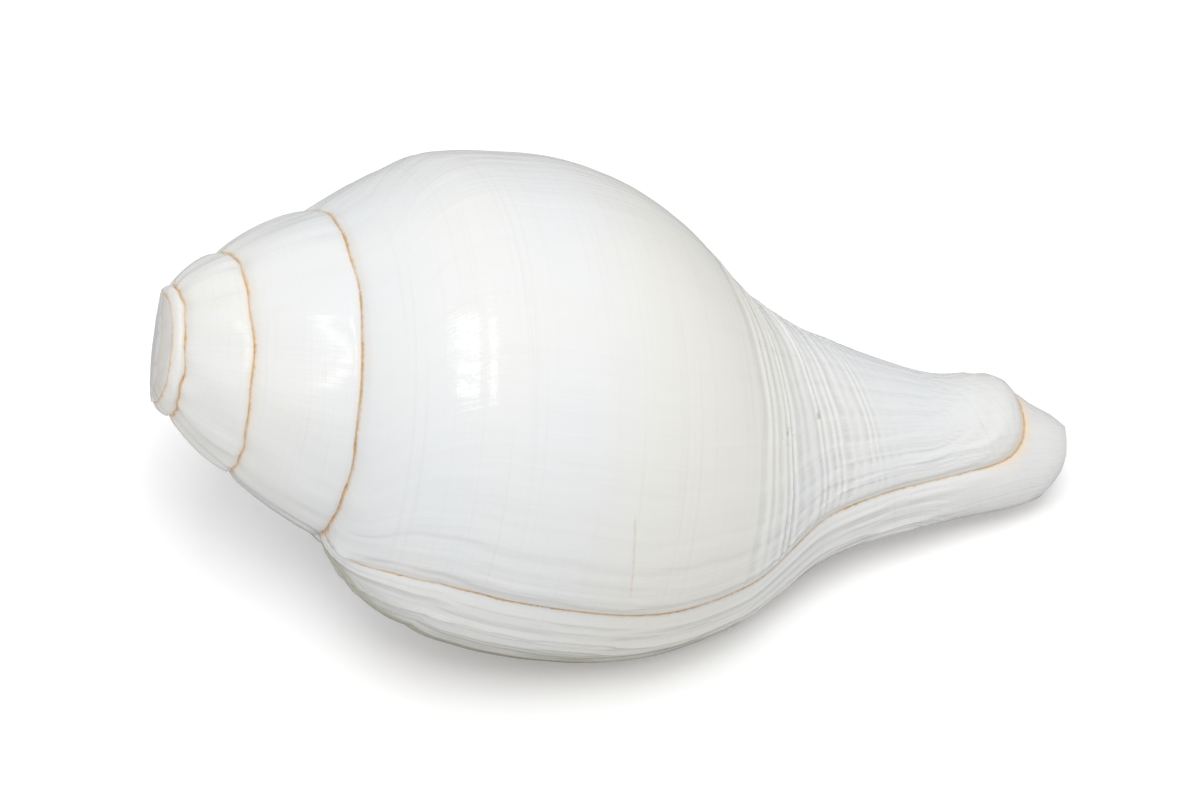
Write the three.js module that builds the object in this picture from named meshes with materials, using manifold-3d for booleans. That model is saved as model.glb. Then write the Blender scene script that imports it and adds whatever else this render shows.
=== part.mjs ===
// A conch shell with its apex ground flat, lying on its aperture. Millimetres, +Z up.
//
// The shell is worked out round its own coiling axis. A station s runs along the axis, from the
// ground apex (0) to the tip of the siphonal canal. A turn t counts whorls back from the free
// edge of the outer lip (0): -1 is the same side of the shell one whorl earlier.
import * as THREE from 'three';
import Module from 'manifold-3d';

const wasm = await Module();
wasm.setup();

// Driving dimensions
const TIP = 150.2; // station of the canal tip
const GROWTH_PER_TURN = 1.39; // size of a whorl over the one before it
const COIL_ORIGIN = -10.8; // station of the point that the body whorl grows away from
const LIP_WALL = 3.8; // thickness of the outer wall
const CANAL_WALL = 1.7; // thickness of the wall at the canal tip

// Outer edge of the shell at the lip, as [distance from the coil origin, radius], and the same
// edge half a turn earlier at the size it would have at the lip.
const LIP_OUTLINE = [
  [45, 33.1], [52, 38.6], [60, 40.7], [68, 41.7], [76, 41.9], [84, 41.5], [92, 40], [100, 37],
  [106, 34.1], [112.5, 29.2], [119, 23.7], [126, 19.5], [140, 15.3], [162, 8],
];
const BACK_OUTLINE = [
  [45, 33], [52, 38.9], [60, 40.8], [68, 41.5], [76, 41.8], [84, 40.8], [92, 38.3], [100, 33.9],
  [106, 28.9], [112.5, 23.6], [119, 20], [126, 18], [140, 15], [162, 8],
];

// Suture between the whorls, as [turn, station, radius]
const SUTURE = [
  [-5, -4.8, 2], [-4.5, -3.8, 3.8], [-4, -2.8, 6.2], [-3.5, -1, 8.5], [-3, -0.3, 7.9],
  [-2.5, 0.6, 9.8], [-2, 2.4, 9.7], [-1.5, 7.5, 15.5], [-1, 12.2, 17.2], [-0.5, 20.7, 23.4],
  [0, 26.4, 25.3],
];
// Where the shoulder of the last whorl runs into its side, as [turn, station, radius]
const SHOULDER_END = [
  [-1, 26.4, 25.3], [-0.75, 29.6, 29], [-0.5, 33.1, 32.3], [-0.25, 36.9, 35.4], [0, 41, 37.9],
];
// How far a whorl bulges out past the straight line between its sutures, as [turn, bulge]
const SHOULDER_BULGE = [
  [-3.5, 0.6], [-3, 0.6], [-2.5, 1.3], [-2, 1], [-1.5, 1.4], [-1, 0.9], [-0.5, 0.35], [0, 3.2],
];

// Radius of the base and the siphonal canal: a row for each quarter turn, from one whorl before
// the lip (the columella) to the lip, with a radius for each station
const CANAL_STATIONS = [55, 85, 95, 105, 115, 125, 132, 138, 142.2, 146.6, 149.5];
const CANAL_RADII = [
  [14, 12, 9.6, 8, 6.8, 5.6, 4.6, 3.8, 3, 2, 1],
  [26, 17, 11.8, 9.4, 7.9, 7, 6.6, 6, 4.6, 3, 1.8],
  [36, 24.2, 14.9, 12.1, 9.9, 8.6, 9.4, 9.6, 6.8, 4.8, 3.2],
  [40, 31, 23, 17.6, 14.3, 12.3, 11.8, 11, 9.2, 7.4, 5],
  [42, 39, 35.1, 26, 20, 16.6, 14.6, 13.2, 12, 10, 6.5],
];

// Growth-rest seam, where an older lip stands proud of the last band of shell, as
// [station, turn] along the body, and the station where it rounds the old canal end
const SEAM = [
  [26.5, -0.022], [31.6, -0.058], [38.7, -0.086], [50, -0.093], [79, -0.091], [91, -0.097],
  [101, -0.118], [110, -0.128], [121, -0.141], [132, -0.167], [140, -0.19],
];
const SEAM_END = 139;
const SEAM_COLUMN = -0.1; // place of the seam among the mesh columns, in turns
const SEAM_STEP = 1.2; // drop from the old lip into the seam
const SEAM_RISE = 0.6; // rise of the new band out of the seam
const CANAL_STEP = 2; // drop of the seam round the old canal end
const SEAM_CORNER = 7; // length over which the seam rounds the corner of the old canal end
const SEAM_REACH = 0.45; // turns over which the columns bend to follow the seam

// Spiral cords on the base
const CORDS = 9;
const CORD_HEIGHT = 0.3;
const BASE_START = 102; // where the cords start and end, from the coil origin, at the lip
const BASE_END = 128;

// Folds on the columella, as distances from the coil origin at the lip
const FOLD_PLACES = [103, 110.5, 118];
const FOLD_HEIGHT = 1.5;
const FOLD_WIDTH = 1.7;
const FOLD_REACH = 0.06; // turns over which the folds die out past the lip

// Low pleats on the shoulders of the spire
const PLEATS_PER_TURN = 9;
const PLEAT_HEIGHT = 0.35;

// Flat ground face at the apex: its station on the axis, and its lean to the back
const GROUND_STATION = -0.8;
const GROUND_LEAN = THREE.MathUtils.degToRad(9);

// Hollow of the last whorl
const HOLLOW_TURNS = 1.4; // how far it is followed back from the lip
const HOLLOW_PAST_LIP = 0.015;
const HOLLOW_TOP = 0.45; // where it starts on the shoulder, as a share of the shoulder
const HOLLOW_END = [
  [-1.4, 53], [-1.2, 61], [-1, 68], [-0.8, 84], [-0.7, 105], [-0.62, 126], [-0.55, 142],
  [-0.45, 158], [0, 158],
]; // [turn, lowest station]
const THINNEST_HOLLOW = 0.25;
const THINNEST_TIP = 0.4;
const CALLUS = 0.4; // glaze laid on the whorl inside the lip

// Rest on a flat surface: turn of the lip edge round the axis, and dip of the axis
const LIP_AZIMUTH = THREE.MathUtils.degToRad(88);
const DOWN_AZIMUTH = THREE.MathUtils.degToRad(140.4);
const AXIS_DIP = THREE.MathUtils.degToRad(13.6);
// Middle of the shell's footprint from station 0 of the axis, and that point's height
const FOOTPRINT_CENTRE = [72, -2.97];
const REST_HEIGHT = 42.88;

// Mesh resolution
const COLUMNS = 48; // round a turn
const SHOULDER_ROWS = 5;
const SIDE_ROWS = 10;
const CANAL_ROWS = 10;
const SPIRE_TURNS = 4; // whorls before the last one
const HOLLOW_COLUMNS = 40;
const HOLLOW_ROWS = [4, 8, 5]; // down each wall of the hollow: above, along and below the folds

const CORD_ROWS = 2 * CORDS;
const BODY_ROWS = SHOULDER_ROWS + SIDE_ROWS + CORD_ROWS + CANAL_ROWS;

// Smooth curve through points: cubic pieces with the slope of a parabola through each point
// and its neighbours, carried on straight past both ends.
function smoothCurve(points) {
  const x = points.map((p) => p[0]);
  const y = points.map((p) => p[1]);
  const last = x.length - 1;
  const chord = x.slice(1).map((value, i) => (y[i + 1] - y[i]) / (value - x[i]));
  const slope = y.map((_, i) => {
    if (i === 0) return chord[0];
    if (i === last) return chord[last - 1];
    const before = x[i] - x[i - 1];
    const after = x[i + 1] - x[i];
    return (after * chord[i - 1] + before * chord[i]) / (before + after);
  });
  return (at) => {
    if (at <= x[0]) return y[0] + (at - x[0]) * slope[0];
    if (at >= x[last]) return y[last] + (at - x[last]) * slope[last];
    let i = 0;
    while (at > x[i + 1]) i += 1;
    const h = x[i + 1] - x[i];
    const u = (at - x[i]) / h;
    const from = (1 + 2 * u) * (1 - u) ** 2;
    const bend = h * (slope[i] * u * (1 - u) ** 2 - slope[i + 1] * u * u * (1 - u));
    return y[i] * from + y[i + 1] * (1 - from) + bend;
  };
}

const pair = (rows, column) => smoothCurve(rows.map((row) => [row[0], row[column]]));
const sutureStation = pair(SUTURE, 1);
const sutureRadius = pair(SUTURE, 2);
const shoulderStation = pair(SHOULDER_END, 1);
const shoulderRadius = pair(SHOULDER_END, 2);
const shoulderBulge = smoothCurve(SHOULDER_BULGE);
const lipOutline = smoothCurve(LIP_OUTLINE);
const backOutline = smoothCurve(BACK_OUTLINE);
const hollowEnd = smoothCurve(HOLLOW_END);
const seamTurn = smoothCurve(SEAM);
const canalCurves = CANAL_RADII.map((row) => smoothCurve(row.map((r, i) => [CANAL_STATIONS[i], r])));

const smoothStep = (x, from, to) => THREE.MathUtils.smoothstep(x, from, to);

// The lower edge of the shoulder at turn t: the next suture, or on the last whorl the line
// where the next suture would have been.
function shoulderEnd(t) {
  if (t <= -1) return [sutureStation(t + 1), sutureRadius(t + 1)];
  return [shoulderStation(t), shoulderRadius(t)];
}

// Shoulder: a straight line between the sutures, with a bulge that is fullest near the upper one
function shoulderRadiusAt(s, t) {
  const [top, topRadius] = [sutureStation(t), sutureRadius(t)];
  const [end, endRadius] = shoulderEnd(t);
  const u = THREE.MathUtils.clamp((s - top) / (end - top), 0, 1);
  const slope = (endRadius - topRadius) / (end - top);
  const hump = 2.1 * u ** 0.75 * (1 - u);
  const pleat = PLEAT_HEIGHT * Math.sin(Math.PI * u) * Math.sin(2 * Math.PI * PLEATS_PER_TURN * t);
  const shift = shoulderBulge(t) * hump + pleat * smoothStep(-t, 0.9, 1.3);
  return topRadius + (endRadius - topRadius) * u + shift * Math.hypot(1, slope);
}

// Side of the whorl: the lip outline shrunk towards the coil origin, mixed with the outline of
// the back half a turn away from the lip
function sideRadiusAt(s, t) {
  const scale = GROWTH_PER_TURN ** t;
  const back = Math.sin(Math.PI * t) ** 2;
  const outline = (station) => {
    const x = (station - COIL_ORIGIN) / scale;
    return scale * (lipOutline(x) * (1 - back) + backOutline(x) * back);
  };
  const [end, endRadius] = shoulderEnd(t);
  const fit = (endRadius - outline(end)) * Math.exp(-Math.max(s - end, 0) / 6);
  return outline(s) + fit;
}

// Base and canal: a smooth curve through the radii of the quarter turns at this station
function canalRadiusAt(s, t) {
  const x = 4 * (THREE.MathUtils.clamp(t, -1, 0) + 1);
  const i = Math.min(Math.floor(x), 3);
  const u = x - i;
  const at = (k) => canalCurves[THREE.MathUtils.clamp(k, 0, 4)](s);
  const [a, b, c, d] = [at(i - 1), at(i), at(i + 1), at(i + 2)];
  const cubic = (3 * (b - c) + d - a) * u + 2 * a - 5 * b + 4 * c - d;
  return b + 0.5 * u * (c - a + u * cubic);
}

// Distance from the growth-rest seam, positive on the old side. Round the old canal end it is the
// rounded minimum of the distances across the seam and along the axis.
function seamPlaceAt(s, t, radius) {
  const across = 2 * Math.PI * radius * (seamTurn(Math.min(s, SEAM_END + 1)) - t);
  const along = SEAM_END - s;
  const overlap = Math.max(SEAM_CORNER - Math.abs(across - along), 0) / SEAM_CORNER;
  return Math.min(across, along) - (overlap * overlap * SEAM_CORNER) / 4;
}

// The cords fade out towards both ends of the base and towards the seam.
function cordHeightAt(s, t, place) {
  const scale = GROWTH_PER_TURN ** t;
  const x = (s - COIL_ORIGIN) / scale;
  const share = (x - BASE_START) / (BASE_END - BASE_START);
  const fade = smoothStep(share, 0, 0.2) * (1 - smoothStep(share, 0.8, 1));
  return -CORD_HEIGHT * fade * smoothStep(place, 0, 9) * Math.cos(2 * Math.PI * CORDS * share);
}

function foldHeightAt(s, t) {
  const scale = GROWTH_PER_TURN ** (t + 1);
  const fade = 1 - smoothStep(t, -1, -1 + FOLD_REACH);
  const ridges = FOLD_PLACES.map((place) => {
    const station = COIL_ORIGIN + (place / GROWTH_PER_TURN) * scale;
    return Math.exp(-(((s - station) / FOLD_WIDTH) ** 2));
  });
  return FOLD_HEIGHT * fade * Math.max(...ridges);
}

// Drop at the seam: the old side rounds down into it, the new side rises out of it.
function seamDropAt(s, t, place) {
  if (t < -0.62) return 0;
  const atEnd = smoothStep(s, 125, 138);
  const step = THREE.MathUtils.lerp(SEAM_STEP, CANAL_STEP, atEnd);
  const old = step * Math.exp(-Math.max(place, 0) / 2.2);
  const fresh = step - SEAM_RISE * (1 - Math.exp(Math.min(place, 0) / 0.8));
  const settled = THREE.MathUtils.lerp(Math.exp(Math.min(place, 0) / 9), 1, 0.25);
  const drop = place > 0 ? old : fresh * settled;
  return drop * (1 - smoothStep(-t, 0.45, 0.62));
}

// Outer radius of the shell at a station and turn
function radiusAt(s, t) {
  const [end] = shoulderEnd(t);
  const scale = GROWTH_PER_TURN ** t;
  const baseStart = 112.5 * scale + COIL_ORIGIN;
  const canal = smoothStep(s, baseStart, baseStart + 16);
  const side = () => THREE.MathUtils.lerp(sideRadiusAt(s, t), canalRadiusAt(s, t), canal);
  const plain = s < end ? shoulderRadiusAt(s, t) : side();
  const seamPlace = seamPlaceAt(s, t, plain);
  return plain + cordHeightAt(s, t, seamPlace) + foldHeightAt(s, t) - seamDropAt(s, t, seamPlace);
}

// Mesh columns bend so that one of them lies along the seam.
function columnTurn(column, s) {
  const seam = seamTurn(THREE.MathUtils.clamp(s, SEAM[0][0], SEAM_END));
  if (column >= SEAM_COLUMN) return (seam * column) / SEAM_COLUMN;
  const pull = THREE.MathUtils.clamp(1 + (column - SEAM_COLUMN) / SEAM_REACH, 0, 1);
  return column + (seam - SEAM_COLUMN) * pull;
}

// Station of a mesh row at a turn. Rows follow the sutures, then the cords, then the canal.
function rowStation(row, t) {
  const top = sutureStation(t);
  const [end] = shoulderEnd(t);
  if (row <= SHOULDER_ROWS) return THREE.MathUtils.lerp(top, end, row / SHOULDER_ROWS);
  const scale = GROWTH_PER_TURN ** t;
  const cordStart = BASE_START * scale + COIL_ORIGIN;
  const cordEnd = BASE_END * scale + COIL_ORIGIN;
  const sideRow = row - SHOULDER_ROWS;
  if (sideRow <= SIDE_ROWS) return THREE.MathUtils.lerp(end, cordStart, sideRow / SIDE_ROWS);
  const cordRow = sideRow - SIDE_ROWS;
  if (cordRow <= CORD_ROWS) return THREE.MathUtils.lerp(cordStart, cordEnd, cordRow / CORD_ROWS);
  return canalStation((cordRow - CORD_ROWS) / CANAL_ROWS, cordEnd);
}

// Canal rows, with three of them close together at the seam round the old canal end
function canalStation(share, start) {
  const places = [start, (start + SEAM_END) / 2 - 3, SEAM_END - 12, SEAM_END - 5, SEAM_END - 1.6,
    SEAM_END, SEAM_END + 1.2, SEAM_END + 5, TIP - 3, TIP - 0.8, TIP];
  return places[Math.round(share * CANAL_ROWS)];
}

// Columns of a turn: evenly spaced, with three close together at the seam
function columnPlaces() {
  const places = Array.from({ length: COLUMNS + 1 }, (_, j) => j / COLUMNS - 1);
  const near = [SEAM_COLUMN - 0.012, SEAM_COLUMN, SEAM_COLUMN + 0.007];
  const clear = places.filter((place) => near.every((n) => Math.abs(place - n) > 0.009));
  return [...clear, ...near].sort((a, b) => a - b);
}

// Point in space from station, turn and radius: x along the axis, z towards azimuth 0
function place(s, t, radius) {
  const azimuth = LIP_AZIMUTH + 2 * Math.PI * t;
  return new THREE.Vector3(s, -radius * Math.sin(azimuth), radius * Math.cos(azimuth));
}

// Point of the outside. The columns of the spire run on straight from those at the suture.
function surfacePoint(row, column, whorl) {
  const guide = whorl > 0 ? sutureStation(0) : rowStation(row, column);
  const t = columnTurn(column, guide) - whorl;
  const s = rowStation(row, t);
  return place(s, t, Math.max(radiusAt(s, t), THINNEST_TIP));
}

// A closed mesh under construction: points, and triangles that name them
class MeshBuilder {
  constructor() {
    this.points = [];
    this.triangles = [];
  }

  add(point) {
    this.points.push(point);
    return this.points.length - 1;
  }

  triangle(a, b, c) {
    if (a !== b && b !== c && c !== a) this.triangles.push([a, b, c]);
  }

  quad(a, b, c, d) {
    this.triangle(a, b, c);
    this.triangle(a, c, d);
  }

  // Triangles between two runs of points, taking each time the step that spans less
  zip(left, right) {
    let i = 0;
    let j = 0;
    const span = (a, b) => this.points[a].distanceTo(this.points[b]);
    while (i < left.length - 1 || j < right.length - 1) {
      const canLeft = i < left.length - 1;
      const canRight = j < right.length - 1;
      const leftSpan = canLeft ? span(left[i + 1], right[j]) : Infinity;
      const rightSpan = canRight ? span(left[i], right[j + 1]) : Infinity;
      if (leftSpan <= rightSpan) {
        this.triangle(left[i], left[i + 1], right[j]);
        i += 1;
      } else {
        this.triangle(left[i], right[j + 1], right[j]);
        j += 1;
      }
    }
  }

  solid() {
    const vertProperties = new Float32Array(this.points.flatMap((p) => p.toArray()));
    const triVerts = new Uint32Array(this.triangles.flat());
    return new wasm.Manifold(new wasm.Mesh({ numProp: 3, vertProperties, triVerts }));
  }
}

// Outside of the whole shell, with the opening at the lip still closed by a flat face
function outerSolid() {
  const mesh = new MeshBuilder();
  const columns = columnPlaces();
  const lastColumn = columns.length - 1;
  const tip = mesh.add(new THREE.Vector3(TIP, 0, 0));
  const known = new Map();

  // The bottom row of a whorl is the top row of the next, and its last column is the first
  // column of the next.
  const index = (whorl, column, row) => {
    if (whorl > 0 && row === SHOULDER_ROWS) return index(whorl - 1, column, 0);
    if (whorl > 0 && column === lastColumn) return index(whorl - 1, 0, row);
    if (whorl === 0 && column === 0 && row === SHOULDER_ROWS) return index(0, lastColumn, 0);
    if (row === BODY_ROWS) return tip;
    const key = `${whorl} ${column} ${row}`;
    if (!known.has(key)) known.set(key, mesh.add(surfacePoint(row, columns[column], whorl)));
    return known.get(key);
  };

  for (let whorl = SPIRE_TURNS; whorl >= 0; whorl -= 1) {
    const rows = whorl > 0 ? SHOULDER_ROWS : BODY_ROWS;
    for (let column = 0; column < lastColumn; column += 1) {
      for (let row = 0; row < rows; row += 1) {
        const [a, b] = [index(whorl, column, row), index(whorl, column + 1, row)];
        const [c, d] = [index(whorl, column + 1, row + 1), index(whorl, column, row + 1)];
        mesh.quad(a, b, c, d);
      }
    }
  }

  // Flat face at the lip, from the lip edge in to the whorl before it
  const lipEdge = Array.from({ length: BODY_ROWS + 1 }, (_, row) => index(0, lastColumn, row));
  const inner = lipEdge.slice(SHOULDER_ROWS).map((_, k) => index(0, 0, SHOULDER_ROWS + k));
  mesh.zip(inner, lipEdge);

  // Start of the spire, above the ground face
  const start = mesh.add(new THREE.Vector3(rowStation(0, -SPIRE_TURNS - 1) - 1, 0, 0));
  const rim = columns.map((_, column) => index(SPIRE_TURNS, column, 0));
  const seamRows = Array.from({ length: SHOULDER_ROWS + 1 }, (_, r) => index(SPIRE_TURNS, 0, r));
  const loop = [...rim, ...seamRows.reverse().slice(1, -1)];
  loop.forEach((point, k) => mesh.triangle(start, loop[(k + 1) % loop.length], point));
  return mesh.solid();
}

// Radius of the inner face of the outer wall. The wall keeps its thickness on a slope.
function innerRadiusAt(s, t) {
  const step = 0.5;
  const at = Math.min(s, TIP - 4);
  const slope = (radiusAt(at + step, t) - radiusAt(at - step, t)) / (2 * step);
  const wall = THREE.MathUtils.lerp(LIP_WALL, CANAL_WALL, smoothStep(at, 95, 140));
  return radiusAt(at, t) - wall * Math.min(Math.hypot(1, slope), 1.8);
}

// Stations down the hollow at a turn, close together along the folds of the columella
function hollowStations(t, top, bottom) {
  const scale = GROWTH_PER_TURN ** (t - 1);
  const foldTop = (FOLD_PLACES[0] - 2 * FOLD_WIDTH) * scale + COIL_ORIGIN;
  const foldEnd = (FOLD_PLACES.at(-1) + 2 * FOLD_WIDTH) * scale + COIL_ORIGIN;
  const ends = [top, foldTop, foldEnd, bottom];
  const stations = HOLLOW_ROWS.flatMap((rows, part) => Array.from({ length: rows }, (_, row) => (
    THREE.MathUtils.lerp(ends[part], ends[part + 1], row / rows))));
  return [...stations, bottom];
}

// Closed section of the hollow at a turn: down the outer wall, then back up the columella
function hollowSection(t) {
  const [end] = shoulderEnd(t);
  const top = THREE.MathUtils.lerp(sutureStation(t), end, HOLLOW_TOP);
  const bottom = hollowEnd(Math.min(t, 0));
  const depth = THREE.MathUtils.clamp((-t - HOLLOW_TURNS + 0.15) / 0.15, 0, 1);
  const shrink = Math.sqrt(Math.max(1 - depth * depth, 0.02));
  const callus = CALLUS * smoothStep(t, -0.05, 0);
  const outer = [];
  const inner = [];
  for (const s of hollowStations(t, top, bottom)) {
    const columella = Math.max(radiusAt(Math.min(s, TIP - 1), t - 1), 0.8) + callus;
    const closing = bottom < TIP ? Math.sqrt(Math.min((bottom - s) / 8, 1)) : 1;
    const open = Math.max(innerRadiusAt(s, t) - columella, 0) * shrink * closing;
    inner.push([s, columella]);
    outer.push([s, columella + Math.max(open, THINNEST_HOLLOW)]);
  }
  return [...outer, ...inner.reverse()].map(([s, radius]) => place(s, t, radius));
}

function hollowSolid() {
  const mesh = new MeshBuilder();
  const sections = Array.from({ length: HOLLOW_COLUMNS + 1 }, (_, k) => {
    const t = THREE.MathUtils.lerp(HOLLOW_PAST_LIP, -HOLLOW_TURNS, k / HOLLOW_COLUMNS);
    return hollowSection(t).map((point) => mesh.add(point));
  });
  const size = sections[0].length;
  for (let k = 0; k < HOLLOW_COLUMNS; k += 1) {
    for (let i = 0; i < size; i += 1) {
      const next = (i + 1) % size;
      mesh.quad(sections[k][i], sections[k][next], sections[k + 1][next], sections[k + 1][i]);
    }
  }
  const half = size / 2;
  const capped = (section) => [section.slice(0, half), section.slice(half).reverse()];
  mesh.zip(...capped(sections[0]).reverse());
  mesh.zip(...capped(sections[HOLLOW_COLUMNS]));
  return mesh.solid();
}

// A block that takes off everything above the ground face of the apex
function grindingBlock() {
  const size = 60;
  const geometry = new THREE.BoxGeometry(size, size, size).toNonIndexed();
  geometry.translate(-size / 2, 0, 0);
  geometry.rotateY(-GROUND_LEAN);
  geometry.translate(GROUND_STATION, 0, 0);
  const mesh = new MeshBuilder();
  const known = new Map();
  const position = geometry.getAttribute('position');
  const corners = Array.from({ length: position.count }, (_, i) => {
    const point = new THREE.Vector3().fromBufferAttribute(position, i);
    const key = point.toArray().map((v) => v.toFixed(3)).join(' ');
    if (!known.has(key)) known.set(key, mesh.add(point));
    return known.get(key);
  });
  for (let i = 0; i < corners.length; i += 3) mesh.triangle(...corners.slice(i, i + 3));
  return mesh.solid();
}

function toGeometry(solid) {
  const { vertProperties, triVerts, numProp } = solid.getMesh();
  const geometry = new THREE.BufferGeometry();
  geometry.setAttribute('position', new THREE.BufferAttribute(new Float32Array(vertProperties), numProp));
  geometry.setIndex(new THREE.BufferAttribute(new Uint32Array(triVerts), 1));
  return geometry;
}

// Turns the shell so that it lies on its aperture, with the ground point under its middle
function layDown(geometry) {
  geometry.rotateX(-DOWN_AZIMUTH - Math.PI);
  geometry.rotateY(AXIS_DIP);
  geometry.translate(-FOOTPRINT_CENTRE[0], -FOOTPRINT_CENTRE[1], REST_HEIGHT);
  geometry.computeVertexNormals();
  return geometry;
}

const shellSolid = outerSolid().subtract(hollowSolid()).subtract(grindingBlock());
const porcelain = new THREE.MeshStandardMaterial({ color: 0xf1efe9, roughness: 0.3, metalness: 0 });
const shell = new THREE.Mesh(layDown(toGeometry(shellSolid)), porcelain);
shell.name = 'shell';

const conch = new THREE.Group();
conch.add(shell);

export default conch;
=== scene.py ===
"""A polished white conch shell, its apex ground flat, lying on its aperture on a pale floor.

The shell is worked out in its own frame, in millimetres, round its coiling axis. A station s runs
along the axis, from the ground apex (0) to the tip of the siphonal canal. A turn t counts whorls
back from the free edge of the outer lip (0): -1 is the same side of the shell one whorl earlier.
Everything is laid down on the floor and turned into metres at the end.
"""

import logging
from dataclasses import dataclass, field
from enum import Enum
from typing import Sequence

import bpy
import numpy as np
from mathutils import Matrix


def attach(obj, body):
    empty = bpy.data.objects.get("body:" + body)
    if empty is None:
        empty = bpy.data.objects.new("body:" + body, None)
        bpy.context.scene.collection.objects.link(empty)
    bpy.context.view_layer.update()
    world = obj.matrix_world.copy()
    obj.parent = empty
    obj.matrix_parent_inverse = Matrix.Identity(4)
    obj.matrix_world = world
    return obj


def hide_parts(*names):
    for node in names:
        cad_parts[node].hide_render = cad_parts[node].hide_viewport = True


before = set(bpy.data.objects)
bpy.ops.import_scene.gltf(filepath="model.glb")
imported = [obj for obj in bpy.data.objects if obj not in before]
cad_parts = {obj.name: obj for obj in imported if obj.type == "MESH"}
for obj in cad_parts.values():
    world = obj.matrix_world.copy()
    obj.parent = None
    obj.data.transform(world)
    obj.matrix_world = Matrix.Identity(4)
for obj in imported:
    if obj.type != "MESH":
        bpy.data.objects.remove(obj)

logger = logging.getLogger("conch")

Array = np.ndarray
Points = Sequence[Sequence[float]]
Colour = tuple[float, float, float, float]
Pair = tuple[float, float]
Socket = bpy.types.NodeSocket

MILLIMETRE = 0.001
TURN = 2 * np.pi


def smooth_step(x: Array, start: float, end: float) -> Array:
    """Runs from 0 at start to 1 at end, as 3u^2 - 2u^3 of the share u between them."""
    u = np.clip((x - start) / (end - start), 0, 1)
    return u * u * (3 - 2 * u)


def lerp(a: Array, b: Array, share: Array) -> Array:
    """Mixes a and b: a where share is 0, b where it is 1."""
    return a + (b - a) * share


def bell(x: Array, width: float) -> Array:
    """Bell curve exp(-(x / width)^2)."""
    return np.exp(-((x / width) ** 2))


def plateau(x: Array, rise: Sequence[float], fall: Sequence[float]) -> Array:
    """Runs from 0 up to 1 over the first span of x, and back down to 0 over the second."""
    return smooth_step(x, *rise) * (1 - smooth_step(x, *fall))


def rows_between(start: Array, end: Array, shares: Array) -> Array:
    """Stations at these shares of the way from start to end, a row of them for each column."""
    return lerp(start[:, None], end[:, None], shares[None])


class SmoothCurve:
    """A curve through points, made of cubic pieces.

    The slope at each point is that of the parabola through it and its neighbours, and the curve
    carries on straight past both ends.
    """

    def __init__(self, points: Points) -> None:
        """Works out the slopes.

        Args:
            points: (x, y) pairs, with x rising.
        """
        self.x, self.y = np.array(points, float).T
        self.step = np.diff(self.x)
        chord = np.diff(self.y) / self.step
        before, after = self.step[:-1], self.step[1:]
        inner = (after * chord[:-1] + before * chord[1:]) / (before + after)
        self.slope = np.concatenate([chord[:1], inner, chord[-1:]])

    def __call__(self, at: Array) -> Array:
        """Evaluates the curve.

        Args:
            at: places along x.

        Returns:
            The heights there, as a cubic Hermite curve in the share u of each piece.
        """
        at = np.asarray(at, float)
        i = np.clip(np.searchsorted(self.x, at, side="right") - 1, 0, len(self.step) - 1)
        h = self.step[i]
        u = np.clip((at - self.x[i]) / h, 0, 1)
        start = (1 + 2 * u) * (1 - u) ** 2
        bend = h * (self.slope[i] * u * (1 - u) ** 2 - self.slope[i + 1] * u * u * (1 - u))
        below = np.minimum(at - self.x[0], 0) * self.slope[0]
        above = np.maximum(at - self.x[-1], 0) * self.slope[-1]
        return self.y[i] * start + self.y[i + 1] * (1 - start) + bend + below + above


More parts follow.
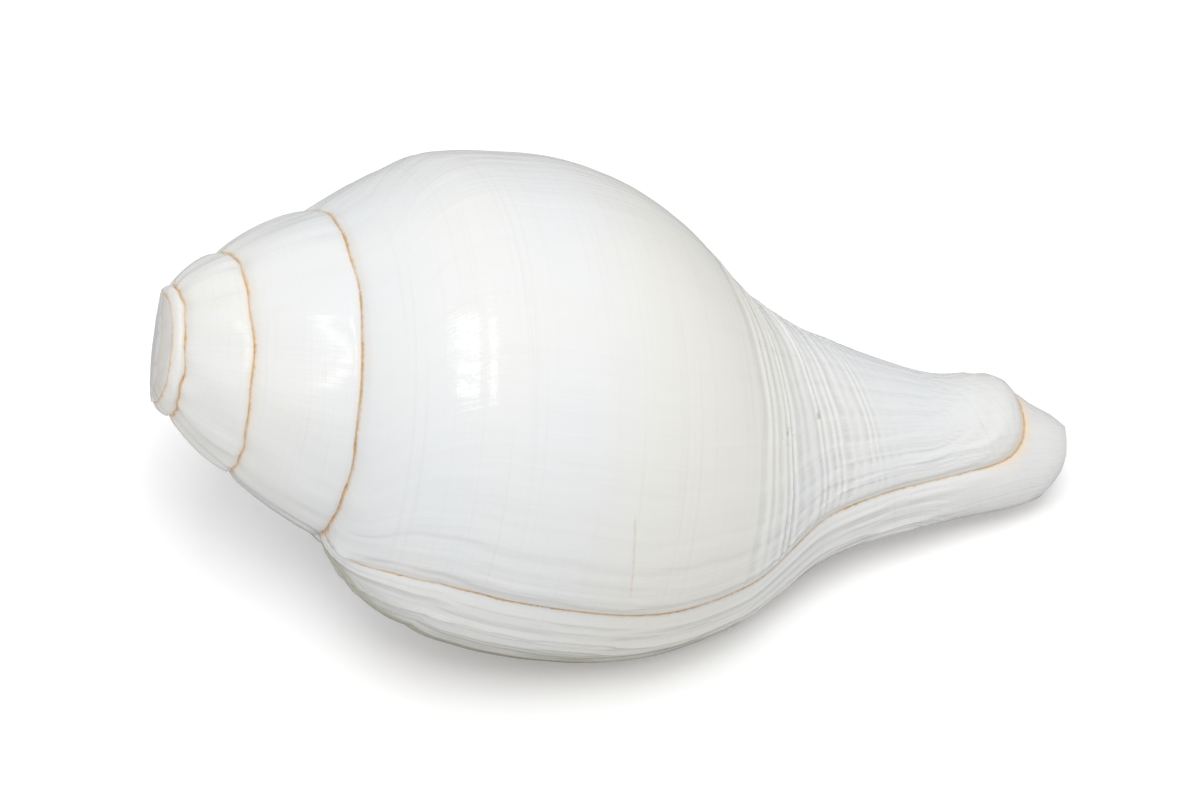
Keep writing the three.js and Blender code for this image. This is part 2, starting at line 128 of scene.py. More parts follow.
@dataclass
class ShellForm:
    """The outside and the hollow of the shell as radii over station and turn, in millimetres."""

    tip: float = 150.2
    growth_per_turn: float = 1.39
    coil_origin: float = -10.8
    lip_wall: float = 3.8
    canal_wall: float = 1.7
    lip_azimuth: float = float(np.radians(88))
    lip_outline: Points = (
        (45, 33.1), (52, 38.6), (60, 40.7), (68, 41.7), (76, 41.9), (84, 41.5), (92, 40), (100, 37),
        (106, 34.1), (112.5, 29.2), (119, 23.7), (126, 19.5), (140, 15.3), (162, 8),
    )
    back_outline: Points = (
        (45, 33), (52, 38.9), (60, 40.8), (68, 41.5), (76, 41.8), (84, 40.8), (92, 38.3), (100, 33.9),
        (106, 28.9), (112.5, 23.6), (119, 20), (126, 18), (140, 15), (162, 8),
    )
    suture_line: Points = (
        (-5, -4.8, 2), (-4.5, -3.8, 3.8), (-4, -2.8, 6.2), (-3.5, -1, 8.5), (-3, -0.3, 7.9),
        (-2.5, 0.6, 9.8), (-2, 2.4, 9.7), (-1.5, 7.5, 15.5), (-1, 12.2, 17.2), (-0.5, 20.7, 23.4),
        (0, 26.4, 25.3),
    )
    shoulder_line: Points = (
        (-1, 26.4, 25.3), (-0.75, 29.6, 29), (-0.5, 33.1, 32.3), (-0.25, 36.9, 35.4), (0, 41, 37.9),
    )
    shoulder_bulge: Points = (
        (-3.5, 0.6), (-3, 0.6), (-2.5, 1.3), (-2, 1), (-1.5, 1.4), (-1, 0.9), (-0.5, 0.35), (0, 3.2),
    )
    canal_stations: Sequence[float] = (55, 85, 95, 105, 115, 125, 132, 138, 142.2, 146.6, 149.5)
    canal_radii: Points = (
        (14, 12, 9.6, 8, 6.8, 5.6, 4.6, 3.8, 3, 2, 1),
        (26, 17, 11.8, 9.4, 7.9, 7, 6.6, 6, 4.6, 3, 1.8),
        (36, 24.2, 14.9, 12.1, 9.9, 8.6, 9.4, 9.6, 6.8, 4.8, 3.2),
        (40, 31, 23, 17.6, 14.3, 12.3, 11.8, 11, 9.2, 7.4, 5),
        (42, 39, 35.1, 26, 20, 16.6, 14.6, 13.2, 12, 10, 6.5),
    )
    seam_line: Points = (
        (26.5, -0.026), (31.6, -0.069), (38.7, -0.09), (50, -0.093), (79, -0.091), (91, -0.097),
        (101, -0.118), (110, -0.128), (121, -0.141), (132, -0.167), (140, -0.19),
    )
    seam_end: float = 139
    seam_ridges: Points = (
        (-2.6, 0.16, 0.5, 0.3), (-5.2, 0.12, 0.5, 0.5), (-8.4, 0.42, 0.9, 0.6), (-12.5, 0.2, 0.8, 0.5),
        (4.2, 0.16, 0.5, 0.5), (8, 0.07, 0.7, 0.9),
    )
    growth_waves: Points = (
        (1.15, 0.2, 0.4, 0.7), (1.7, 0.33, 2.1, 1), (2.6, 0.4, 4.4, 1.3), (4.3, 0.5, 1.2, 1.8),
        (7.9, 0.7, 3.3, 2.5),
    )
    growth_height: float = 0.1
    growth_radius: float = 38
    growth_reach: float = 11
    growth_near: float = 0.9
    growth_far: tuple[float, float, float] = (0.1, 0.25, 0.25)
    growth_on_tip: float = 0.45
    growth_base: Pair = (96, 110)
    growth_tip: Pair = (120, 134)
    nub_place: Pair = (27.6, 1.9)
    nub_height: float = 1.3
    nub_width: float = 1.4
    seam_step: float = 1.2
    seam_start_share: float = 0.2
    seam_start_span: Pair = (30, 48)
    seam_rise: float = 0.6
    seam_rise_width: float = 0.8
    seam_fade: Pair = (0.45, 0.62)
    old_side_width: float = 2.2
    young_side_width: float = 9
    canal_step: float = 2
    canal_step_span: Pair = (125, 138)
    canal_start: float = 112.5
    canal_blend: float = 16
    side_fit_length: float = 6
    seam_corner: float = 7
    cords: int = 21
    cord_height: float = 0.2
    base_start: float = 101
    base_end: float = 140
    fold_places: Sequence[float] = (103, 110.5, 118)
    fold_height: float = 1.5
    fold_width: float = 1.7
    fold_reach: float = 0.06
    pleats_per_turn: int = 9
    pleat_height: float = 0.32
    knuckles_per_turn: int = 17
    knuckle_height: float = 0.15
    corner_round: float = 0.35
    corner_width: float = 3.5
    suture_waver: float = 0.14
    suture_groove: float = 0.3
    suture_width: float = 0.55
    lip_round: float = 1.5
    ground_station: float = -0.8
    ground_lean: float = float(np.radians(9))

    def __post_init__(self) -> None:
        """Makes the curves from the driving points."""
        pick = lambda rows, column: SmoothCurve([(row[0], row[column]) for row in rows])
        self._suture_station = pick(self.suture_line, 1)
        self.suture_radius = pick(self.suture_line, 2)
        self._shoulder_station = pick(self.shoulder_line, 1)
        self._shoulder_radius = pick(self.shoulder_line, 2)
        self._bulge = SmoothCurve(self.shoulder_bulge)
        self._lip = SmoothCurve(self.lip_outline)
        self._back = SmoothCurve(self.back_outline)
        self._canal = [SmoothCurve(list(zip(self.canal_stations, row))) for row in self.canal_radii]
        self.seam_turn = SmoothCurve(self.seam_line)

    def suture_station(self, t: Array) -> Array:
        """Station of the suture, with an uneven waver made of two sines."""
        waver = np.sin(TURN * 6.3 * t + 1) + 0.7 * np.sin(TURN * 15.7 * t + 3 * np.sin(TURN * 2 * t))
        fade = smooth_step(-t, 0, 0.1) * smooth_step(t, -3.3, -2.6)
        return self._suture_station(t) + self.suture_waver * waver * fade

    def scale(self, t: Array) -> Array:
        """Size of the whorl at a turn over its size at the lip."""
        return self.growth_per_turn ** t

    def spiral_place(self, s: Array, t: Array) -> Array:
        """Distance from the coil origin that the point would have at the lip."""
        return (s - self.coil_origin) / self.scale(t)

    def shoulder_end(self, t: Array) -> tuple[Array, Array]:
        """Lower edge of the shoulder: the next suture, or on the last whorl its continuation.

        Args:
            t: turns.

        Returns:
            Its stations and radii.
        """
        early = t <= -1
        station = np.where(early, self.suture_station(t + 1), self._shoulder_station(t))
        radius = np.where(early, self.suture_radius(t + 1), self._shoulder_radius(t))
        return station, radius

    def shoulder_radius(self, s: Array, t: Array) -> Array:
        """Radius on the shoulder: a straight line between the sutures, plus bulge and bumps.

        The bulge goes as u^0.75 (1 - u) over the share u of the way down. The pleats are a sine
        round the axis times a half sine down the shoulder. The knuckles are smaller and uneven,
        and stand just above the next suture.
        """
        top, top_radius = self.suture_station(t), self.suture_radius(t)
        end, end_radius = self.shoulder_end(t)
        u = np.clip((s - top) / (end - top), 0, 1)
        slope = (end_radius - top_radius) / (end - top)
        hump = 2.1 * u ** 0.75 * (1 - u)
        wave = np.sin(TURN * self.pleats_per_turn * t)
        size = self.scale(t + 1) * smooth_step(t, -3, -2.4)
        pleat = self.pleat_height * np.sin(np.pi * u) * wave * smooth_step(-t, 0.9, 1.3) * size
        beat = np.sin(TURN * self.knuckles_per_turn * t + 2 * np.sin(TURN * 3 * t))
        beat = beat + 0.3 * np.sin(TURN * 2.4 * self.knuckles_per_turn * t)
        limb = lerp(np.cos(TURN * t) ** 2, 1, 0.3)
        knuckle = self.knuckle_height * np.sin(np.pi * u ** 3) * beat * limb
        knuckle = knuckle * smooth_step(-t, 0.95, 1.05) * size
        shift = self._bulge(t) * hump + pleat + knuckle
        return lerp(top_radius, end_radius, u) + shift * np.hypot(1, slope)

    def side_radius(self, s: Array, t: Array) -> Array:
        """Radius on the side: the lip's outline shrunk towards the coil origin.

        It is mixed with the outline of the back by the squared sine of half a turn, and fitted to
        the end of the shoulder by a share that dies out below it.
        """
        scale = self.scale(t)
        back = np.sin(np.pi * t) ** 2

        def outline(station: Array) -> Array:
            """Mixed outline at a station, at this whorl's size."""
            x = (station - self.coil_origin) / scale
            return scale * lerp(self._lip(x), self._back(x), back)

        end, end_radius = self.shoulder_end(t)
        fit = (end_radius - outline(end)) * np.exp(-np.maximum(s - end, 0) / self.side_fit_length)
        return outline(s) + fit

    def canal_radius(self, s: Array, t: Array) -> Array:
        """Radius on the base and canal: a Catmull-Rom curve through those of the quarter turns."""
        table = np.stack([curve(s) for curve in self._canal])
        x = 4 * (np.clip(t, -1, 0) + 1)
        i = np.minimum(np.floor(x).astype(int), 3)
        u = x - i
        at = lambda k: np.take_along_axis(table, np.clip(k, 0, 4)[None], 0)[0]
        a, b, c, d = at(i - 1), at(i), at(i + 1), at(i + 2)
        cubic = (3 * (b - c) + d - a) * u + 2 * a - 5 * b + 4 * c - d
        return b + 0.5 * u * (c - a + u * cubic)

    def cord_relief(self, s: Array, t: Array, place: Array) -> Array:
        """Height of the spiral cords.

        It is a cosine along the base that fades at both its ends and towards the seam. The
        cords waver a little, and slow waves along the turn make them stronger and weaker.
        """
        share = (self.spiral_place(s, t) - self.base_start) / (self.base_end - self.base_start)
        waver = 0.005 * np.sin(31 * t + 9 * share) + 0.003 * np.sin(83 * t)
        waver = waver + 0.012 * np.sin(23 * share + 2) + 0.006 * np.sin(61 * share)
        fade = plateau(share, (-0.03, 0.1), (0.3, 1)) * smooth_step(t, -0.99, -0.85)
        uneven = 0.75 + 0.35 * np.sin(TURN * 4.3 * share + 7 * t) * np.sin(19 * t + 5 * share)
        uneven = uneven + 0.35 * np.sin(TURN * 6.1 * share + 3 * t)
        height = self.cord_height * fade * uneven * smooth_step(place, 0.3, 4)
        return -height * np.cos(TURN * self.cords * (share + waver))

    def fold_relief(self, s: Array, t: Array) -> Array:
        """Height of the columella's folds: bell curves that keep their place along the spiral."""
        fade = 1 - smooth_step(t, -1, -1 + self.fold_reach)
        place = self.spiral_place(s, t) * self.growth_per_turn ** -1
        scale = self.scale(t + 1)
        ridges = [
            bell((place - at / self.growth_per_turn) * scale, self.fold_width)
            for at in self.fold_places
        ]
        return self.fold_height * fade * np.max(ridges, axis=0)

    def seam_distance(self, s: Array, t: Array, radius: Array) -> Array:
        """Distance from the growth seam along the surface, positive on the old side.

        Round the old canal end it is the rounded minimum of the distances across and along.
        """
        across = TURN * radius * (self.seam_turn(np.minimum(s, self.seam_end + 1)) - t)
        along = self.seam_end - s
        overlap = np.maximum(self.seam_corner - np.abs(across - along), 0) / self.seam_corner
        return np.minimum(across, along) - overlap ** 2 * self.seam_corner / 4

    def seam_drop(self, s: Array, t: Array, place: Array) -> Array:
        """How far the surface drops at the seam.

        The old side rounds down into it with an exponential, and the new side rises out of it.
        """
        step = lerp(self.seam_step, self.canal_step, smooth_step(s, *self.canal_step_span))
        step = step * lerp(self.seam_start_share, 1, smooth_step(s, *self.seam_start_span))
        old = step * np.exp(-np.maximum(place, 0) / self.old_side_width)
        young = np.minimum(place, 0)
        rise = self.seam_rise * (1 - np.exp(young / self.seam_rise_width))
        fresh = (step - rise) * lerp(np.exp(young / self.young_side_width), 1, 0.25)
        drop = np.where(place > 0, old, fresh) * (1 - smooth_step(-t, *self.seam_fade))
        return np.where(t < -self.seam_fade[1], 0, drop)

    def suture_distance(self, s: Array, t: Array) -> Array:
        """Distance along the surface to the nearer suture of the whorl."""
        top, top_radius = self.suture_station(t), self.suture_radius(t)
        end, end_radius = self.shoulder_end(t)
        slant = np.hypot(1, (end_radius - top_radius) / (end - top))
        below = np.abs(s - top) * slant
        above = np.where(t <= -1, np.abs(end - s) * slant, below)
        return np.minimum(below, above)

    def plain_radius(self, s: Array, t: Array) -> Array:
        """Radius of the outside before the seam, the sutures and the lip are worked in."""
        end, _ = self.shoulder_end(t)
        below = s - (self.canal_start * self.scale(t) + self.coil_origin)
        on_canal = smooth_step(below, 0, self.canal_blend)
        side = lerp(self.side_radius(s, t), self.canal_radius(s, t), on_canal)
        corner = self.corner_round * bell(s - end, self.corner_width)
        corner = corner * smooth_step(-t, 0.2, 0.35) * (1 - smooth_step(-t, 0.7, 0.9))
        return np.where(s < end, self.shoulder_radius(s, t), side) - corner

    def radius(self, s: Array, t: Array) -> Array:
        """Outer radius of the shell at stations and turns."""
        s, t = np.broadcast_arrays(np.asarray(s, float), np.asarray(t, float))
        plain = self.plain_radius(s, t)
        place = self.seam_distance(s, t, plain)
        groove = self.suture_groove * bell(self.suture_distance(s, t), self.suture_width)
        relief = self.cord_relief(s, t, place) + self.fold_relief(s, t) + self.growth_relief(s, t, place)
        return plain + relief - self.seam_drop(s, t, place) - groove

    def growth_place(self, s: Array, t: Array) -> Array:
        """Distance back from the seam along the turn, at one radius for the whole shell."""
        seam = self.seam_turn(np.clip(s, self.seam_line[0][0], self.seam_end))
        return TURN * self.growth_radius * (np.where(t > -1, seam, 0) - t)

    def growth_relief(self, s: Array, t: Array, place: Array) -> Array:
        """Height of the growth lines and ridges.

        Fine lines lie side by side behind the lip, as a sum of sines of the growth place that
        drift along the axis. They are strong on the young band and near the seam, where a few
        ridges, bell curves over the seam distance, stand out, and they net the cords.
        """
        drift = np.sin(0.11 * s + 1.3) + 0.5 * np.sin(0.31 * s) + 0.2 * np.sin(0.83 * s + 2)
        on_tip = smooth_step(s, *self.growth_tip)
        back = lerp(self.growth_place(s, t), place, on_tip)
        lines = sum(
            height * np.sin(TURN * (back + 0.5 * move * drift) / length + phase)
            for length, height, phase, move in self.growth_waves
        )
        ridges = sum(
            height * bell(place - at - 0.7 * move * drift, width)
            for at, height, width, move in self.seam_ridges
        )
        on_base = smooth_step(self.spiral_place(s, t), *self.growth_base)
        upper_back = plateau(-t, (0.36, 0.46), (0.6, 0.75))
        everywhere, base_share, back_share = self.growth_far
        far = everywhere + base_share * on_base + back_share * upper_back
        near = lerp(far, self.growth_near, np.exp(-np.maximum(place, 0) / self.growth_reach))
        strength = np.where(place < 0, 1 - on_tip, near) * lerp(1, self.growth_on_tip, on_tip)
        start, across = self.nub_place
        spread = (s - start) ** 2 + (place - across) ** 2
        nub = self.nub_height * np.exp(-(spread / self.nub_width ** 2))
        off_seam = smooth_step(np.abs(place), 0.2, 1.2)
        fade = smooth_step(-t, 0.001, 0.006) * smooth_step(t, -0.98, -0.85)
        ridges = ridges * np.where(place < 0, 1 - on_tip, 1 + on_tip)
        return ((self.growth_height * lines * strength + ridges) * off_seam + nub) * fade

    def fine_relief(self, s: Array, t: Array) -> Array:
        """Height of the cords and growth lines together."""
        place = self.seam_distance(s, t, self.plain_radius(s, t))
        return self.cord_relief(s, t, place) + self.growth_relief(s, t, place)

    def lip_inset(self, t: Array, radius: Array) -> Array:
        """How far the lip's edge is rounded in: a quarter circle over the arc from the lip."""
        left = np.clip(self.lip_round - np.abs(t) * TURN * radius, 0, self.lip_round)
        return self.lip_round - np.sqrt(self.lip_round ** 2 - left ** 2)

    def place(self, s: Array, t: Array, radius: Array) -> Array:
        """Points in the shell's frame: x along the axis, z towards azimuth 0.

        Args:
            s: stations.
            t: turns.
            radius: distances from the axis.

        Returns:
            An array of the same shape with x, y and z last.
        """
        azimuth = self.lip_azimuth + TURN * t
        return np.stack([s + 0 * radius, -radius * np.sin(azimuth), radius * np.cos(azimuth)], -1)


@dataclass
class Rest:
    """How the shell lies on the floor."""

    down_azimuth: float = float(np.radians(140.4))
    axis_dip: float = float(np.radians(13.6))
    footprint_centre: Pair = (72, -2.97)
    rest_height: float = 42.88

    def __post_init__(self) -> None:
        """Makes the turn about the axis and then the dip of the axis as one matrix."""
        about_axis = Matrix.Rotation(-self.down_azimuth - np.pi, 3, "X")
        self.turn = np.array(Matrix.Rotation(self.axis_dip, 3, "Y") @ about_axis)
        self.shift = np.array([-self.footprint_centre[0], -self.footprint_centre[1], self.rest_height])

    def directions(self, vectors: Array) -> Array:
        """Turns directions of the shell's frame into the world's."""
        return vectors @ self.turn.T

    def points(self, points: Array) -> Array:
        """Turns points of the shell's frame, in millimetres, into the world's, in metres."""
        return (points @ self.turn.T + self.shift) * MILLIMETRE


def mesh_from_arrays(name: str, points: Array, faces: Array) -> bpy.types.Mesh:
    """Puts whole arrays into a mesh.

    Args:
        name: the mesh's name.
        points: vertices, one a row.
        faces: triangles or quads, as rows of vertex numbers.

    Returns:
        The new mesh.
    """
    mesh = bpy.data.meshes.new(name)
    mesh.from_pydata(points.tolist(), [], faces.tolist())
    mesh.validate()
    return mesh


def add_object(name: str, mesh: bpy.types.ID) -> bpy.types.Object:
    """Makes an object of data and links it to the scene."""
    thing = bpy.data.objects.new(name, mesh)
    bpy.context.scene.collection.objects.link(thing)
    return thing


def both_sides(gaps: Sequence[float]) -> Array:
    """Places on both sides of 0 at these distances, with 0 itself."""
    return np.concatenate([-np.array(gaps)[::-1], [0], gaps])


@dataclass
class OuterSkin:
    """The outside of the shell as one closed grid, with the mouth still shut by a flat face."""

    form: ShellForm
    runs: Points = ((-1, -0.62, 54), (-0.62, -0.2, 118), (-0.2, -0.1, 44), (-0.1, 0, 56))
    shoulder_rows: int = 16
    side_rows: int = 44
    cord_rows: int = 140
    canal_rows: int = 34
    whorls: int = 4
    seam_column: float = -0.1
    seam_reach: float = 0.45
    seam_gaps: Sequence[float] = (0.0004, 0.0009, 0.0016, 0.0025)
    lip_gaps: Sequence[float] = (0.0004, 0.001, 0.0018, 0.0028)
    column_gap: float = 0.0009
    end_gaps: Sequence[float] = (0.15, 0.35, 0.7, 1.2, 2, 3, 4.5)
    tip_gaps: Sequence[float] = (4, 2, 1, 0.4, 0.1, 0)
    thinnest: float = 0.4

    def __post_init__(self) -> None:
        """Lays out the columns of a turn and the rows of a whorl."""
        even = [np.linspace(start, end, count, endpoint=False) for start, end, count in self.runs]
        even = np.append(np.concatenate(even), 0)
        near = np.concatenate([self.seam_column + both_sides(self.seam_gaps), -np.array(self.lip_gaps)])
        gap = np.min(np.abs(even[:, None] - near[None]), axis=1)
        keep = (gap > self.column_gap) | (even == -1) | (even == 0)
        self.places = np.sort(np.concatenate([even[keep], near]))
        share = np.linspace(0, 1, self.shoulder_rows + 1)
        self.shoulder_shares = lerp(share, (1 - np.cos(np.pi * share)) / 2, 0.85)
        self.rows = self.shoulder_rows + self.side_rows + self.cord_rows + self.canal_rows

    def canal_stations(self, start: Array) -> Array:
        """Stations of the canal's rows, close together round the old canal end.

        Args:
            start: the station where the canal's rows start, for each column.

        Returns:
            A row of stations for each column, the last one at the tip.
        """
        form = self.form
        near = form.seam_end + both_sides(self.end_gaps)
        last = form.tip - np.array(self.tip_gaps)
        lead = self.canal_rows - len(near) - len(last)
        share = np.arange(1, lead + 1) / (lead + 1)
        first = lerp(start[:, None], near[0], share[None])
        fixed = np.broadcast_to(np.concatenate([near, last]), (len(start), len(near) + len(last)))
        return np.concatenate([first, fixed], axis=1)

    def row_stations(self, t: Array) -> Array:
        """Stations of all rows of the last whorl at each turn: shoulder, side, cords and canal."""
        form = self.form
        top = form.suture_station(t)
        end, _ = form.shoulder_end(t)
        cord_start = form.base_start * form.scale(t) + form.coil_origin
        cord_end = form.base_end * form.scale(t) + form.coil_origin
        shoulder = rows_between(top, end, self.shoulder_shares)
        side = rows_between(end, cord_start, np.arange(1, self.side_rows + 1) / self.side_rows)
        cords = rows_between(cord_start, cord_end, np.arange(1, self.cord_rows + 1) / self.cord_rows)
        return np.concatenate([shoulder, side, cords, self.canal_stations(cord_end)], axis=1)

    def bent_turn(self, column: Array, s: Array) -> Array:
        """Turn of a column at a station: the columns bend so that one lies along the seam."""
        form = self.form
        seam = form.seam_turn(np.clip(s, form.seam_line[0][0], form.seam_end))
        pull = np.clip(1 + (column - self.seam_column) / self.seam_reach, 0, 1)
        young = seam * column / self.seam_column
        return np.where(column >= self.seam_column, young, column + (seam - self.seam_column) * pull)

    def whorl_points(self, whorl: int) -> Array:
        """Points of a whorl, as columns by rows.

        Args:
            whorl: 0 for the last whorl, 1 for the one before it, and so on.

        Returns:
            Its points in the shell's frame.
        """
        form = self.form
        if whorl:
            guide = np.full(len(self.places), float(form.suture_station(0)))
            t = (self.bent_turn(self.places, guide) - whorl)[:, None]
            end, _ = form.shoulder_end(t)
            s = lerp(form.suture_station(t), end, self.shoulder_shares[None])
            t = np.broadcast_to(t, s.shape)
        else:
            straight = self.row_stations(self.places)
            t = self.bent_turn(self.places[:, None], straight)
            s = np.stack([self.row_stations(t[:, row])[:, row] for row in range(self.rows + 1)], 1)
        radius = np.maximum(form.radius(s, t), self.thinnest)
        if not whorl:
            radius = radius - np.minimum(form.lip_inset(t, radius), 0.6 * radius)
        return form.place(s, t, radius)

    def build(self) -> tuple[Array, Array]:
        """Joins the whorls at their sutures and closes the mouth and the start of the spire.

        Returns:
            Points and triangles of one closed surface with its faces pointing out.
        """
        count = len(self.places)
        last = count - 1
        grids = [self.whorl_points(whorl) for whorl in range(self.whorls)]
        numbers, start = [], 0
        for whorl, grid in enumerate(grids):
            own = start + np.arange(grid.shape[0] * grid.shape[1]).reshape(grid.shape[:2])
            start += own.size
            if whorl:
                before = numbers[whorl - 1]
                own[:, -1] = before[:, 0]
                own[last] = before[0, :self.shoulder_rows + 1]
            else:
                own[:, -1] = own[0, -1]
                own[0, self.shoulder_rows] = own[last, 0]
            numbers.append(own)
        points = np.concatenate([grid.reshape(-1, 3) for grid in grids])
        points[numbers[0][0, -1]] = (self.form.tip, 0, 0)
        apex = len(points)
        top = float(self.form.suture_station(-float(self.whorls))) - 1
        points = np.concatenate([points, [[top, 0, 0]]])

        faces = [self.grid_triangles(own) for own in numbers]
        lip = numbers[0][last]
        inner = numbers[0][0]
        hub = np.full(self.shoulder_rows - 1, lip[0])
        fan = np.stack([hub, lip[2:self.shoulder_rows + 1], lip[1:self.shoulder_rows]], 1)
        below = slice(self.shoulder_rows, None)
        faces += [fan, self.grid_triangles(np.stack([lip[below], inner[below]]))]
        rim = np.concatenate([numbers[-1][:, 0], numbers[-1][0, self.shoulder_rows:0:-1]])
        faces.append(np.stack([np.full(len(rim), apex), np.roll(rim, -1), rim], 1))
        faces = np.concatenate(faces)
        faces = faces[np.all(faces != np.roll(faces, 1, axis=1), axis=1)]
        used, faces = np.unique(faces, return_inverse=True)
        return points[used], faces.reshape(-1, 3)

    @staticmethod
    def grid_triangles(grid: Array) -> Array:
        """Two triangles for each cell of a grid of vertex numbers."""
        a, b, c, d = grid[:-1, :-1], grid[1:, :-1], grid[1:, 1:], grid[:-1, 1:]
        first = np.stack([a, b, c], -1).reshape(-1, 3)
        second = np.stack([a, c, d], -1).reshape(-1, 3)
        return np.concatenate([first, second])


@dataclass
class Hollow:
    """The hollow behind the mouth, as a closed tube that follows the last whorls back."""

    form: ShellForm
    turns: float = 1.4
    past_lip: float = 0.004
    top_share: float = 0.45
    end_line: Points = (
        (-1.4, 53), (-1.2, 61), (-1, 68), (-0.8, 84), (-0.7, 105), (-0.62, 126), (-0.55, 142),
        (-0.45, 158), (0, 158),
    )
    end_turns: float = 0.15
    end_length: float = 8
    flare_share: float = 0.8
    steepest: float = 1.8
    thinnest: float = 0.25
    callus: float = 0.4
    columns: int = 110
    rows: tuple[int, int, int] = (12, 24, 12)

    def __post_init__(self) -> None:
        """Makes the curve of the hollow's lower end."""
        self.lower_end = SmoothCurve(self.end_line)

    def inner_radius(self, s: Array, t: Array) -> Array:
        """Radius of the inner face of the wall, which keeps its thickness on a slope."""
        form, step = self.form, 0.5
        at = np.minimum(s, form.tip - 4)
        slope = (form.plain_radius(at + step, t) - form.plain_radius(at - step, t)) / (2 * step)
        wall = lerp(form.lip_wall, form.canal_wall, smooth_step(at, 95, 140))
        plain = form.plain_radius(at, t)
        base = plain - form.seam_drop(at, t, form.seam_distance(at, t, plain))
        return base - wall * np.minimum(np.hypot(1, slope), self.steepest)

    def stations(self, t: Array, top: Array, bottom: Array) -> Array:
        """Stations down the hollow at each turn, close together along the columella's folds."""
        form = self.form
        scale = form.scale(t - 1)
        fold_top = (form.fold_places[0] - 2 * form.fold_width) * scale + form.coil_origin
        fold_end = (form.fold_places[-1] + 2 * form.fold_width) * scale + form.coil_origin
        ends = [top, fold_top, fold_end, bottom]
        runs = [
            rows_between(ends[part], ends[part + 1], np.arange(rows) / rows)
            for part, rows in enumerate(self.rows)
        ]
        return np.concatenate([*runs, bottom[:, None]], axis=1)

    def build(self) -> tuple[Array, Array]:
        """Builds the tube from closed sections, down the outer wall and back up the columella.

        Returns:
            Points and triangles of one closed surface with its faces pointing out.
        """
        form = self.form
        back = np.linspace(0, 1, self.columns + 1)
        t = lerp(self.past_lip, -self.turns, lerp(back, back ** 2, 0.5))
        end, _ = form.shoulder_end(t)
        top = lerp(form.suture_station(t), end, self.top_share)
        bottom = self.lower_end(np.minimum(t, 0))
        s = self.stations(t, top, bottom)
        t_grid = np.broadcast_to(t[:, None], s.shape)
        callus = self.callus * smooth_step(t_grid, -0.05, 0)
        columella = np.maximum(form.radius(np.minimum(s, form.tip - 1), t_grid - 1), 0.8) + callus
        depth = np.clip((-t - self.turns + self.end_turns) / self.end_turns, 0, 1)
        shrink = np.sqrt(np.maximum(1 - depth ** 2, 0.02))[:, None]
        ends_inside = (bottom < form.tip)[:, None]
        closing = np.where(ends_inside, np.sqrt(np.clip((bottom[:, None] - s) / self.end_length, 0, 1)), 1)
        flare = self.flare_share * form.lip_inset(t_grid, columella * 0 + form.growth_radius)
        room = self.inner_radius(s, t_grid) + flare - columella
        outer = columella + np.maximum(np.maximum(room, 0) * shrink * closing, self.thinnest)
        down, up = form.place(s, t_grid, outer), form.place(s, t_grid, columella)[:, ::-1]
        walls = np.concatenate([down, up], 1)
        size = walls.shape[1]
        grid = np.arange(walls.shape[0] * size).reshape(walls.shape[:2])
        ring = np.concatenate([grid, grid[:, :1]], axis=1)
        faces = OuterSkin.grid_triangles(ring)[:, ::-1]
        half = size // 2
        caps = []
        for section, flip in ((grid[0], 1), (grid[-1], -1)):
            pairs = np.stack([section[:half], section[half:][::-1]])
            caps.append(OuterSkin.grid_triangles(pairs)[:, ::flip])
        return walls.reshape(-1, 3), np.concatenate([faces, *caps])


def signed_volume(points: Array, faces: Array) -> float:
    """Volume of a closed surface, positive where its faces point out: a sum of tetrahedra."""
    a, b, c = (points[faces[:, k]] for k in range(3))
    return float(np.einsum("ij,ij->i", a, np.cross(b, c)).sum() / 6)


@dataclass
class GroundFace:
    """The flat face ground on the apex, as a block that takes off what is above it."""

    form: ShellForm
    size: float = 60

    def build(self) -> tuple[Array, Array]:
        """Builds the block: a cube with one face on the ground plane.

        Returns:
            Points and triangles in the shell's frame.
        """
        corners = np.array([(x, y, z) for x in (-1, 0) for y in (-0.5, 0.5) for z in (-0.5, 0.5)])
        lean = np.array(Matrix.Rotation(-self.form.ground_lean, 3, "Y"))
        points = corners * self.size @ lean.T + (self.form.ground_station, 0, 0)
        quads = [(0, 1, 3, 2), (4, 6, 7, 5), (0, 4, 5, 1), (2, 3, 7, 6), (0, 2, 6, 4), (1, 5, 7, 3)]
        quads = np.array(quads)
        return points, np.concatenate([quads[:, [0, 1, 2]], quads[:, [0, 2, 3]]])


class Skin(Enum):
    """Which surface of the shell a vertex lies on."""

    OUTSIDE = 0
    WALL = 1
    COLUMELLA = 2


